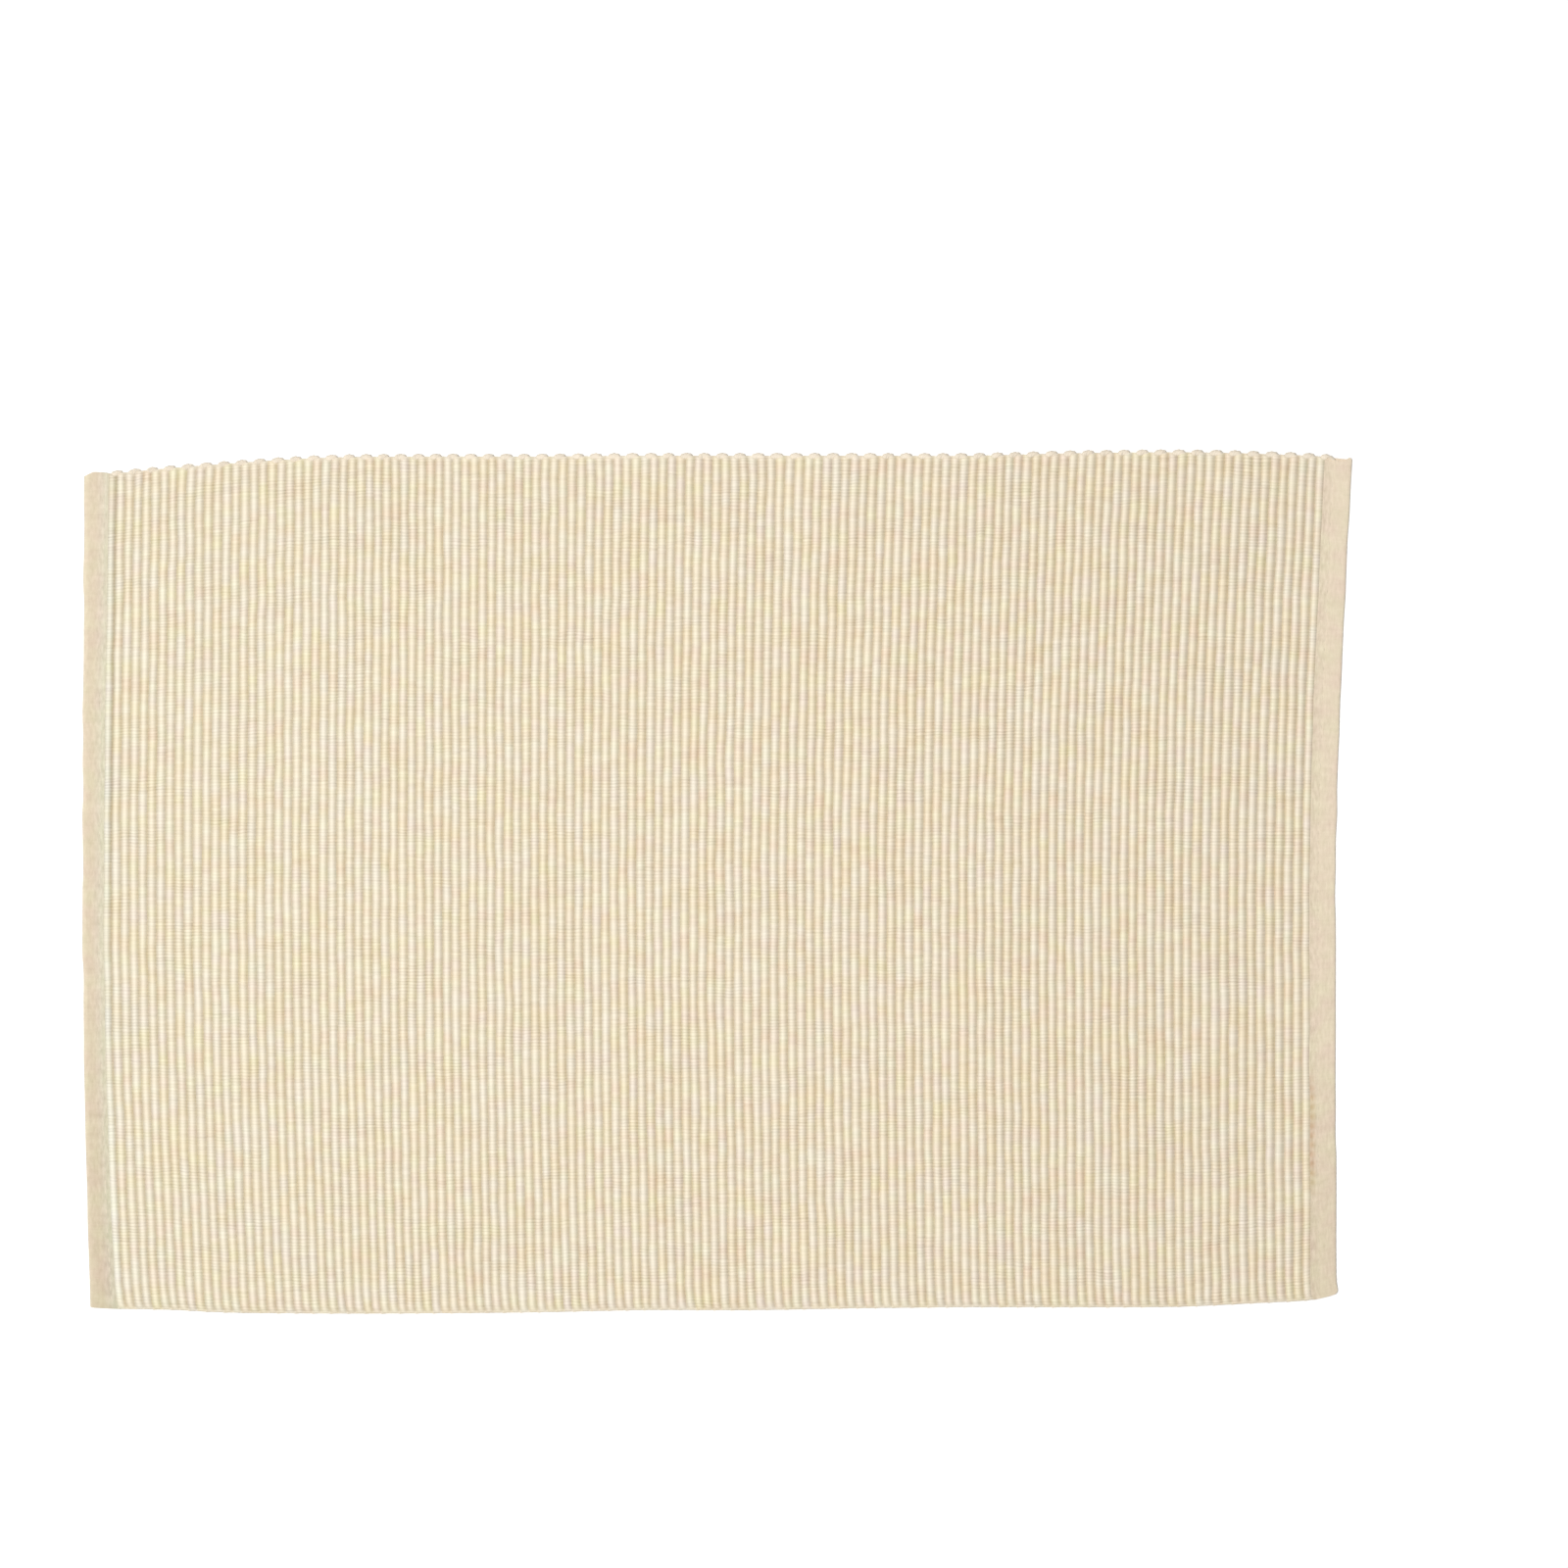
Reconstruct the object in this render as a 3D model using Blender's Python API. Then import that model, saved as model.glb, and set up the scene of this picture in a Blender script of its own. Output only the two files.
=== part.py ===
"""A ribbed cotton placemat lying flat: thick weft cords wrapped by fine warp, hemmed at both ends.

The ribs run along Y and lie side by side along X. Both faces of the cloth are ribbed alike. At
the left and right ends the cloth is folded into a flat hem, and along its two long edges each
pair of ribs is joined by the small loop in which the weft cord turns round. Everything is in
metres, +Z is up, and the origin is under the middle of the mat, on the surface it lies on.
"""

import math
from collections import namedtuple

import bmesh
import bpy
from mathutils import Vector

# The weave
RIB_COUNT = 135
RIB_PITCH = 0.003415
RIB_THICKNESS = 0.0023  # through the crests of both faces
VALLEY_THICKNESS = 0.0010  # between two ribs
CREST_START = 0.32  # the part of a rib's width that each flank takes
RIB_UNEVENNESS = 0.00012  # how far a valley strays from its even place
CREST_UNEVENNESS = 0.00008  # how much lower a crest can be

# The hems at the two ends
LEFT_HEM = 0.0075
RIGHT_HEM = 0.0097
HEM_THICKNESS = 0.0015
HEM_ROUNDING = 0.0006  # the rounding of the fold
FOLD_THICKNESS = 0.0007
STITCH_ROW = 0.0006  # from the hem's inner edge to its stitching

# The loops in which the weft turns, each joining two ribs
TOP_LOOP = 0.0017
BOTTOM_LOOP = 0.0008
LOOP_WIDTH = 1.36  # in rib pitches
LOOP_THICKNESS = 0.0012
LOOP_ROOT = 0.0022  # from the loops' feet to where the ribs have their full height

# How the ribs lean: straight at mid length, swept aside towards their ends
TOP_SWEEP = 1.7
BOTTOM_SWEEP = 2.4
ROWS = (-0.5, 0.0, 0.5)  # where a rib is cut across, in shares of its half length

COTTON = (0.807, 0.708, 0.539, 1.0)

# The outline, as uneven as the cloth lies. Each row is a place along the mat, and there:
# shift = how far the rib lies to the right of its even place, top and bottom = how far the two
# long edges are from the middle line, top_lean and bottom_lean = how far the rib's ends are swept
# to the right. Lengths are in millimetres and rib counts the ribs from the left hem's inner edge.
Place = namedtuple("Place", "rib shift top bottom top_lean bottom_lean")
OUTLINE = (
    Place(rib=-2.2, shift=0.0, top=154.6, bottom=161.6, top_lean=1.2, bottom_lean=3.1),
    Place(rib=0, shift=0.0, top=156.2, bottom=162.4, top_lean=1.6, bottom_lean=3.6),
    Place(rib=6, shift=0.1, top=158.6, bottom=163.1, top_lean=1.9, bottom_lean=4.3),
    Place(rib=12, shift=0.1, top=160.1, bottom=164.2, top_lean=1.4, bottom_lean=4.1),
    Place(rib=24, shift=0.3, top=162.6, bottom=164.9, top_lean=1.1, bottom_lean=3.3),
    Place(rib=36, shift=-0.3, top=163.1, bottom=164.3, top_lean=0.4, bottom_lean=2.6),
    Place(rib=48, shift=-0.8, top=163.1, bottom=164.2, top_lean=0.5, bottom_lean=2.1),
    Place(rib=60, shift=-1.3, top=163.4, bottom=163.5, top_lean=1.7, bottom_lean=1.8),
    Place(rib=72, shift=-1.6, top=163.4, bottom=163.4, top_lean=2.1, bottom_lean=1.6),
    Place(rib=84, shift=-1.4, top=163.4, bottom=162.7, top_lean=3.3, bottom_lean=1.4),
    Place(rib=96, shift=-1.3, top=163.4, bottom=161.9, top_lean=3.6, bottom_lean=1.0),
    Place(rib=108, shift=-1.6, top=164.4, bottom=162.1, top_lean=4.2, bottom_lean=0.7),
    Place(rib=120, shift=-1.4, top=164.7, bottom=162.1, top_lean=4.9, bottom_lean=0.7),
    Place(rib=128, shift=-0.7, top=164.1, bottom=161.2, top_lean=5.2, bottom_lean=0.4),
    Place(rib=135, shift=0.0, top=163.0, bottom=159.2, top_lean=5.7, bottom_lean=0.4),
    Place(rib=137.9, shift=0.0, top=160.9, bottom=156.8, top_lean=6.4, bottom_lean=0.4),
)
MILLIMETRE = 0.001

# One cut through the cloth: where it is, and its lower and upper face there
Column = namedtuple("Column", "rib low high")


def outline_at(rib):
    """Return the outline's row at a place along the mat, in metres, eased between the table's rows."""
    after = next((n for n, place in enumerate(OUTLINE) if place.rib >= rib), len(OUTLINE) - 1)
    after = max(after, 1)
    here, there = OUTLINE[after - 1], OUTLINE[after]
    before, beyond = OUTLINE[max(after - 2, 0)], OUTLINE[min(after + 1, len(OUTLINE) - 1)]
    span = there.rib - here.rib
    share = (rib - here.rib) / span

    def eased(name):
        start, end = getattr(here, name), getattr(there, name)
        slope_in = (end - getattr(before, name)) / (there.rib - before.rib) * span
        slope_out = (getattr(beyond, name) - start) / (beyond.rib - here.rib) * span
        rest = 1 - share
        value = start * rest * rest * (1 + 2 * share) + end * share * share * (1 + 2 * rest)
        value += slope_in * share * rest * rest - slope_out * share * share * rest
        return value * MILLIMETRE

    return Place(rib, *(eased(name) for name in Place._fields[1:]))


def uneven(rib):
    """Return a number from -1 to 1 that strays from rib to rib with no plain rhythm."""
    return 0.6 * math.sin(2.399 * rib) + 0.4 * math.sin(0.731 * rib * rib)


def hem_columns(width, side):
    """Return the cuts through one hem from its outer fold to its stitching, side -1 left, 1 right."""
    middle = RIB_THICKNESS / 2
    inner = 0 if side < 0 else RIB_COUNT
    fold = Column(inner + side * width / RIB_PITCH, *around(HEM_THICKNESS / 2, FOLD_THICKNESS))
    shoulder = Column(inner + side * (width - HEM_ROUNDING) / RIB_PITCH, 0.0, HEM_THICKNESS)
    stitched = Column(inner + side * STITCH_ROW / RIB_PITCH, 0.0, HEM_THICKNESS)
    root = Column(inner, *around(middle, VALLEY_THICKNESS))
    return [fold, shoulder, stitched, root]


def around(middle, thickness):
    """Return the lower and upper height of a layer of this thickness."""
    return middle - thickness / 2, middle + thickness / 2


def rib_columns(number):
    """Return the cuts through one rib: the crest's two edges, and the valley to its right."""
    crest = RIB_THICKNESS - CREST_UNEVENNESS * (1 + uneven(number)) / 2
    valley = number + 1 + RIB_UNEVENNESS / RIB_PITCH * uneven(number)
    return [
        Column(number + CREST_START, 0.0, crest),
        Column(number + 1 - CREST_START, 0.0, crest),
        Column(valley, *around(RIB_THICKNESS / 2, VALLEY_THICKNESS)),
    ]


def cross_section():
    """Return every cut through the cloth, from its left end to its right end."""
    columns = hem_columns(LEFT_HEM, -1)
    for number in range(RIB_COUNT):
        columns += rib_columns(number)
    columns.pop()
    return columns + hem_columns(RIGHT_HEM, 1)[::-1]


def loop_reach(rib, end):
    """Return how far the cloth's edge is beyond its mean line: out at a loop, in between two."""
    if not 0 < rib < RIB_COUNT:
        return 0.0
    first, depth = (1, TOP_LOOP) if end > 0 else (2, BOTTOM_LOOP)
    off_centre = abs((rib - first + 1) % 2 - 1)
    across = min(off_centre / (LOOP_WIDTH / 2), 1)
    return depth * (math.sqrt(1 - across * across) - 0.5)


def cloth_point(column, row):
    """Return the place of one cut's lower and upper point, row -1 the bottom edge to 1 the top."""
    place = outline_at(column.rib)
    at_end = abs(row) == 1
    half = place.top if row > 0 else place.bottom
    lean = place.top_lean * row**TOP_SWEEP if row > 0 else place.bottom_lean * (-row) ** BOTTOM_SWEEP
    x = (column.rib - RIB_COUNT / 2) * RIB_PITCH + place.shift + lean
    y = row * half
    low, high = column.low, column.high
    if at_end:
        y += math.copysign(loop_reach(column.rib, row), row)
        thickness = min(high - low, LOOP_THICKNESS)
        low, high = around((low + high) / 2, thickness)
    return Vector((x, y, low)), Vector((x, y, high))


def make_cloth(collection, material):
    """Make the mat as one closed solid: a lattice of unit cells, moved into the cloth's shape."""
    columns = cross_section()
    root = 1 - LOOP_ROOT / outline_at(RIB_COUNT / 2).top
    rows = (-1, -root, *ROWS, root, 1)
    across, along = len(columns) - 1, len(rows) - 1

    mesh = bmesh.new()
    bmesh.ops.create_grid(mesh, x_segments=across, y_segments=along, size=0.5)
    sheet = bmesh.ops.extrude_face_region(mesh, geom=mesh.faces[:])
    upper = {item for item in sheet["geom"] if isinstance(item, bmesh.types.BMVert)}
    for vertex in mesh.verts:
        column = columns[round((vertex.co.x + 0.5) * across)]
        row = rows[round((vertex.co.y + 0.5) * along)]
        low, high = cloth_point(column, row)
        vertex.co = high if vertex in upper else low
    centre_on_origin(mesh)
    bmesh.ops.recalc_face_normals(mesh, faces=mesh.faces[:])

    data = bpy.data.meshes.new("ribbed_mat")
    mesh.to_mesh(data)
    mesh.free()
    data.materials.append(material)
    cloth = bpy.data.objects.new("ribbed_mat", data)
    collection.objects.link(cloth)
    return cloth


def centre_on_origin(mesh):
    """Move the mesh so that the middle of its footprint is over the origin, resting at z = 0."""
    lowest = Vector(min(vertex.co[axis] for vertex in mesh.verts) for axis in range(3))
    highest = Vector(max(vertex.co[axis] for vertex in mesh.verts) for axis in range(3))
    middle = (lowest + highest) / 2
    bmesh.ops.translate(mesh, verts=mesh.verts[:], vec=(-middle.x, -middle.y, -lowest.z))


def make_cotton():
    """Return the material of undyed cotton yarn: matt, warm and pale."""
    material = bpy.data.materials.new("undyed_cotton")
    material.use_nodes = True
    shader = material.node_tree.nodes["Principled BSDF"]
    shader.inputs["Base Color"].default_value = COTTON
    shader.inputs["Roughness"].default_value = 0.95
    shader.inputs["Metallic"].default_value = 0.0
    return material


def main():
    for item in list(bpy.data.objects):
        bpy.data.objects.remove(item, do_unlink=True)
    collection = bpy.data.collections.new("ribbed_placemat")
    bpy.context.scene.collection.children.link(collection)
    make_cloth(collection, make_cotton())


main()
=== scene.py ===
"""Looks of the ribbed cotton placemat: woven cloth, folded hems, weft loops and hem stitching.

Every piece is modelled on an even, square mat, whose flat coordinates are x across the ribs from
the middle rib, y along the ribs from the middle line, and z up from the surface that the mat lies
on. lay() then moves it to where that spot of the real, uneven mat lies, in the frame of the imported
solid. Everything is in metres.
"""

import math
from collections import namedtuple
from functools import lru_cache, partial

import bpy
import numpy as np
from bpy.props import FloatProperty, FloatVectorProperty, IntProperty, PointerProperty
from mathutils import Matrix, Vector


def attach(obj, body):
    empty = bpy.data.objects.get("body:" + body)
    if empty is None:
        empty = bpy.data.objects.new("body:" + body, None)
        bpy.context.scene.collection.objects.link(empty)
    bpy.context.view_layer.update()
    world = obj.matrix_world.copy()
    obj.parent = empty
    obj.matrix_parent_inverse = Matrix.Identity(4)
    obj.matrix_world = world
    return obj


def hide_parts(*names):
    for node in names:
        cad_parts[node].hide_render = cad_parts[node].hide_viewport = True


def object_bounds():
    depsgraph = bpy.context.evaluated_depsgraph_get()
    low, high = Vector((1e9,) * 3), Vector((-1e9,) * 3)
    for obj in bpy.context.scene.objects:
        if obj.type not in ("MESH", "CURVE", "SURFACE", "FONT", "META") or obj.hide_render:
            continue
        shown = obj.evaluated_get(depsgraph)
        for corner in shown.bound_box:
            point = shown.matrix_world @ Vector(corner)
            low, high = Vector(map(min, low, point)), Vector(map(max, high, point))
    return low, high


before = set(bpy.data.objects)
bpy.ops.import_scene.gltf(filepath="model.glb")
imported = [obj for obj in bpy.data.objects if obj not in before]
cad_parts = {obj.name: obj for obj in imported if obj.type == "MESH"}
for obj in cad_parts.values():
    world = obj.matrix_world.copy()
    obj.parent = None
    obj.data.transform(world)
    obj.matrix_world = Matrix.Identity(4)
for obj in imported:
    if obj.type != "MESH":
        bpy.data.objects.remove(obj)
solid_low, solid_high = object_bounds()

bl_info = {
    "name": "Ribbed placemat",
    "version": (1, 0, 0),
    "blender": (4, 5, 0),
    "location": "View3D > Sidebar > Placemat",
    "description": "Weaves, hems and lights a ribbed cotton placemat around its packed solid",
    "category": "Object",
}

MM = 0.001
MAT_NODE = "ribbed_mat"

# The outline, as uneven as the cloth lies. Each row is a place along the mat, and there:
# shift = how far the rib lies to the right of its even place, top and bottom = how far the two
# long edges are from the middle line, top_lean and bottom_lean = how far the rib's ends are swept
# to the right. Lengths are in millimetres and rib counts the ribs from the left hem's inner edge.
Place = namedtuple("Place", "rib shift top bottom top_lean bottom_lean")
OUTLINE = (
    Place(rib=-2.2, shift=0.1, top=156.5, bottom=162.6, top_lean=0.7, bottom_lean=3.1),
    Place(rib=0, shift=-0.2, top=156.5, bottom=163.1, top_lean=2.1, bottom_lean=4.8),
    Place(rib=6, shift=-0.1, top=158.3, bottom=163.5, top_lean=1.5, bottom_lean=4.9),
    Place(rib=12, shift=0.3, top=160.0, bottom=164.5, top_lean=1.0, bottom_lean=4.3),
    Place(rib=24, shift=0.5, top=162.6, bottom=164.9, top_lean=1.2, bottom_lean=3.7),
    Place(rib=36, shift=0.0, top=163.1, bottom=164.8, top_lean=0.6, bottom_lean=2.7),
    Place(rib=48, shift=-0.7, top=163.1, bottom=164.4, top_lean=0.7, bottom_lean=2.4),
    Place(rib=60, shift=-1.2, top=163.4, bottom=163.6, top_lean=1.8, bottom_lean=2.1),
    Place(rib=72, shift=-1.6, top=163.4, bottom=163.6, top_lean=2.4, bottom_lean=1.7),
    Place(rib=84, shift=-1.4, top=163.4, bottom=162.9, top_lean=3.7, bottom_lean=1.8),
    Place(rib=96, shift=-1.0, top=163.4, bottom=162.5, top_lean=4.1, bottom_lean=1.2),
    Place(rib=108, shift=-1.1, top=164.4, bottom=162.5, top_lean=4.7, bottom_lean=0.9),
    Place(rib=120, shift=-1.0, top=164.7, bottom=162.3, top_lean=5.5, bottom_lean=0.9),
    Place(rib=128, shift=-0.2, top=164.1, bottom=161.0, top_lean=5.9, bottom_lean=0.6),
    Place(rib=135, shift=0.3, top=163.0, bottom=159.5, top_lean=6.1, bottom_lean=0.4),
    Place(rib=137.9, shift=0.0, top=161.9, bottom=157.0, top_lean=6.4, bottom_lean=0.3),
)
TOP_SWEEP = 1.5  # how late along a rib its lean sets in
BOTTOM_SWEEP = 1.9
MIDDLE = (4.2 * MM, 0.13 * MM)  # the footprint's middle, seen from the middle rib
HOOK = 1.1 * MM  # how far the weft pulls each rib's bottom end aside
HOOK_LENGTH = 1.9 * MM  # how soon that fades, upwards

# The ribs' small wandering from side to side, drawn by chance
WANDER = 0.13 * MM
WANDER_STEP = 10.5 * MM  # along a rib, from one draw to the next
WANDER_SHARED = 0.72  # the share that neighbouring ribs have in common
WANDER_RIBS = 5  # how many neighbours share it
WANDER_SEED = 7
SPARE_RIBS = 5  # drawn before the first rib, for the left hem


def linear(code):
    """Return an sRGB hex colour as linear red, green, blue and alpha."""
    parts = (int(code[n : n + 2], 16) / 255 for n in (1, 3, 5))
    return *(p / 12.92 if p <= 0.04045 else ((p + 0.055) / 1.055) ** 2.4 for p in parts), 1.0


def length(name, description, default):
    """Return a property for a length, in metres."""
    return FloatProperty(name=name, description=description, default=default, min=0, unit="LENGTH")


def colour(name, description, code):
    """Return a property for an sRGB hex colour."""
    settings = {"subtype": "COLOR", "size": 4, "min": 0, "max": 1}
    return FloatVectorProperty(
        name=name, description=description, default=linear(code), **settings
    )


class PlacematSizes(bpy.types.PropertyGroup):
    """The sizes that make this mat."""

    rib_count: IntProperty(name="Ribs", description="How many ribs side by side", default=135)
    rib_pitch: length("Rib pitch", "From one rib to the next", 3.415 * MM)
    half_width: length("Half width", "From the middle line to a long edge", 163.0 * MM)
    thickness: length("Thickness", "Through a rib's crests", solid_high.z - solid_low.z)
    valley: length("Valley", "The cloth's thickness between two ribs", 0.45 * MM)
    warp_spacing: length("Warp spacing", "From one warp line to the next", 1.23 * MM)
    left_hem: length("Left hem", "Its width", 7.9 * MM)
    right_hem: length("Right hem", "Its width", 9.7 * MM)
    hem_thickness: length("Hem thickness", "Through all three layers", 1.5 * MM)
    hem_cloth: length("Hem cloth", "Thickness of the plain cloth", 0.42 * MM)
    top_weft: length("Top weft cord", "Its width where it turns, slack", 2.7 * MM)
    bottom_weft: length("Bottom weft cord", "Its width where it turns, pulled tight", 1.2 * MM)
    top_loop: length("Top loop", "How far it stands out of the edge", 0.5 * MM)
    bottom_loop: length("Bottom loop", "How far it stands out of the edge", 0.25 * MM)
    stitch: length("Stitch", "Length of one stitch", 2.8 * MM)
    stitch_pitch: length("Stitch pitch", "From one stitch to the next", 3.7 * MM)
    thread: length("Thread", "Thickness of the sewing thread", 0.3 * MM)


class PlacematColours(bpy.types.PropertyGroup):
    """The colours of the yarns and of the studio."""

    warp: colour("Warp", "The yarn that wraps the ribs", "#EDE0C8")
    # the darker end of both cloths' tone: painted shade between the ribs and on the hems, and the
    # darker yarn of the random tone alike
    warp_shade: colour("Warp shade", "The yarn down between two ribs", "#C9BBA1")
    hem: colour("Hem", "The plain cloth", "#DBCDB4")
    weft: colour("Weft", "The bare cord at the loops", "#E8DCC9")
    thread: colour("Thread", "The sewing thread", "#DACDB6")
    floor: colour("Floor", "What the mat lies on", "#FFFFFF")


# Laying the even mat out as the real one lies


def outline_at(ribs):
    """Return the outline at places along the mat, in metres, eased between the table's rows."""
    table = np.array(OUTLINE)
    after = np.clip(np.searchsorted(table[:, 0], ribs), 1, len(table) - 1)
    here, there = table[after - 1], table[after]
    before, beyond = table[np.maximum(after - 2, 0)], table[np.minimum(after + 1, len(table) - 1)]
    span = there[:, :1] - here[:, :1]
    share = (ribs[:, None] - here[:, :1]) / span
    rest = 1 - share
    slope_in = (there - before) / (there[:, :1] - before[:, :1]) * span
    slope_out = (beyond - here) / (beyond[:, :1] - here[:, :1]) * span
    eased = here * rest**2 * (1 + 2 * share) + there * share**2 * (1 + 2 * rest)
    eased += slope_in * share * rest**2 - slope_out * share**2 * rest
    return Place(ribs, *(eased[:, 1:] * MM).T)


@lru_cache
def wander_field(rib_count, half_width):
    """Return how far each rib strays to the side at each step along it, in shares of WANDER."""
    dice = np.random.default_rng(WANDER_SEED)
    lines = rib_count + 2 * (SPARE_RIBS + 1)
    steps = int(2 * half_width / WANDER_STEP) + 4  # a few to spare, the first below the mat
    own = dice.normal(size=(lines, steps))
    shared = dice.normal(size=(lines + WANDER_RIBS - 1, steps))
    shared = sum(shared[n : n + lines] for n in range(WANDER_RIBS)) / math.sqrt(WANDER_RIBS)
    return own * math.sqrt(1 - WANDER_SHARED**2) + shared * WANDER_SHARED


def wander(rib, y, sizes):
    """Return how far a rib strays to the side at y, in metres."""
    field = wander_field(sizes.rib_count, round(sizes.half_width, 6))
    last_line, last_step = np.array(field.shape) - 1.001  # just inside the last draws
    line = np.clip(rib + SPARE_RIBS, 0, last_line)
    step = np.clip((y + sizes.half_width) / WANDER_STEP + 1, 0, last_step)
    i, j = line.astype(int), step.astype(int)
    a, b = line - i, step - j
    b = b * b * (3 - 2 * b)
    near = field[i, j] * (1 - b) + field[i, j + 1] * b
    far = field[i + 1, j] * (1 - b) + field[i + 1, j + 1] * b
    return (near * (1 - a) + far * a) * WANDER


def lay(points, sizes):
    """Return points of the even, square mat where they lie in the real one."""
    x, y, z = points.T
    rib = x / sizes.rib_pitch + sizes.rib_count / 2
    place = outline_at(rib)
    share = np.clip(y / sizes.half_width, -1, 1)
    beyond = y - share * sizes.half_width
    up, down = np.maximum(share, 0), np.maximum(-share, 0)
    laid_x = x + place.shift + place.top_lean * up**TOP_SWEEP
    laid_x += place.bottom_lean * down**BOTTOM_SWEEP + wander(rib, y, sizes)
    laid_x += HOOK * np.clip(rib + 1, 0, 1) * np.exp(-(y + sizes.half_width) / HOOK_LENGTH)
    laid_y = up * place.top - down * place.bottom + beyond
    return np.column_stack((laid_x - MIDDLE[0], laid_y - MIDDLE[1], z))


# Making and finishing meshes


def points_of(obj):
    """Return the object's points as rows of x, y, z."""
    flat = np.empty(len(obj.data.vertices) * 3, np.float32)
    obj.data.vertices.foreach_get("co", flat)
    return flat.reshape(-1, 3).astype(float)


def move_points(obj, points):
    """Move the object's points to these rows of x, y, z."""
    obj.data.vertices.foreach_set("co", points.astype(np.float32).ravel())
    obj.data.update()


def start(name):
    """Name the object that was just added."""
    obj = bpy.context.active_object
    obj.name = obj.data.name = name
    return obj


def choose(obj):
    """Make this the only selected object."""
    bpy.ops.object.select_all(action="DESELECT")
    obj.select_set(True)
    bpy.context.view_layer.objects.active = obj


def apply_modifier(obj, kind, **settings):
    """Shape the object with one modifier and apply it."""
    choose(obj)
    modifier = obj.modifiers.new(kind.title(), kind)
    for name, value in settings.items():
        setattr(modifier, name, value)
    bpy.ops.object.modifier_apply(modifier=modifier.name)


def repeat(obj, count, offset):
    """Put this many copies of the object in a row, each moved on by the offset."""
    settings = {"use_relative_offset": False, "use_constant_offset": True}
    apply_modifier(obj, "ARRAY", count=count, constant_offset_displace=offset, **settings)


def add_lattice(name, across, along):
    """Add a unit square of faces, this many across and along."""
    bpy.ops.object.select_all(action="DESELECT")
    bpy.ops.mesh.primitive_grid_add(
        x_subdivisions=across, y_subdivisions=along, size=1, calc_uvs=False
    )
    return start(name)


def number_points(obj, across, along):
    """Return the column and the row of the lattice that each point lies in."""
    places = points_of(obj)
    columns = np.rint((places[:, 0] + 0.5) * across).astype(int)
    rows = np.rint((places[:, 1] + 0.5) * along).astype(int)
    return columns, rows


def map_weave(obj, flat):
    """Give the mesh a UV map that holds each point's flat coordinates, in metres."""
    corners = np.empty(len(obj.data.loops), np.int32)
    obj.data.loops.foreach_get("vertex_index", corners)
    layer = obj.data.uv_layers.new(name="weave")
    layer.uv.foreach_set("vector", flat[corners, :2].astype(np.float32).ravel())


def finish_piece(obj, material, sizes, sharp=60):
    """Lay the flat piece out, smooth it, and hand it to the mat's body with its finish."""
    flat = points_of(obj)
    map_weave(obj, flat)
    move_points(obj, lay(flat, sizes))
    choose(obj)
    bpy.ops.object.mode_set(mode="EDIT")
    bpy.ops.mesh.select_all(action="SELECT")
    bpy.ops.mesh.normals_make_consistent(inside=False)
    bpy.ops.object.mode_set(mode="OBJECT")
    bpy.ops.object.shade_smooth_by_angle(angle=math.radians(sharp))
    obj.data.materials.clear()
    obj.data.materials.append(material)
    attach(obj, "root")


# Materials. A noise's scale is its cells in a metre, so at 1150 they are 0.9 mm across.

# Where the tones of the two cloths start. That is below 0, because the noises that are added
# average nearly as much above it.
RIB_TONE = -0.47
HEM_TONE = -1.34


def add_node(material, kind, inputs, **settings):
    """Add a node with these settings.

    Each input takes a value, a socket or a node, of which it takes the first output.
    """
    node = material.node_tree.nodes.new("ShaderNode" + kind)
    for name, value in settings.items():
        setattr(node, name, value)
    for key, item in inputs.items():
        if isinstance(item, bpy.types.Node):
            item = item.outputs[0]
        if isinstance(item, bpy.types.NodeSocket):
            material.node_tree.links.new(item, node.inputs[key])
        else:
            node.inputs[key].default_value = item
    return node


def dress(material, shader, tinted, bump):
    """Give the shader its colour and its bump."""
    material.node_tree.links.new(tinted.outputs[0], shader.inputs["Base Color"])
    material.node_tree.links.new(bump.outputs[0], shader.inputs["Normal"])
    return material


def shade_cotton(node, tone, parts, pale, shade, hue, richness):
    """Return the colour that a tone gives, from pale at 0 to shade at 1.

    The parts add to the tone, each by its weight.
    """
    for part, weight in parts:
        tone = node("Math", {0: part, 1: weight, 2: tone}, operation="MULTIPLY_ADD")
    ends = {"A": pale, "B": shade}
    mix = node("Mix", {"Factor": tone, **ends}, data_type="RGBA", clamp_factor=False)
    mixed = mix.outputs["Result"]
    return node("HueSaturation", {"Hue": hue, "Saturation": richness, "Color": mixed})


def new_cotton(name, roughness=0.85, gloss=0.2):
    """Return a material of cotton yarn, matt with the faint bloom of its fibres, and its shader."""
    material = bpy.data.materials.new(name)
    material.use_nodes = True
    shader = material.node_tree.nodes["Principled BSDF"]
    shader.inputs["Roughness"].default_value = roughness
    shader.inputs["IOR"].default_value = 1.53
    shader.inputs["Specular IOR Level"].default_value = gloss
    shader.inputs["Sheen Weight"].default_value = 0.08
    shader.inputs["Sheen Roughness"].default_value = 0.6
    return material, shader


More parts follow.
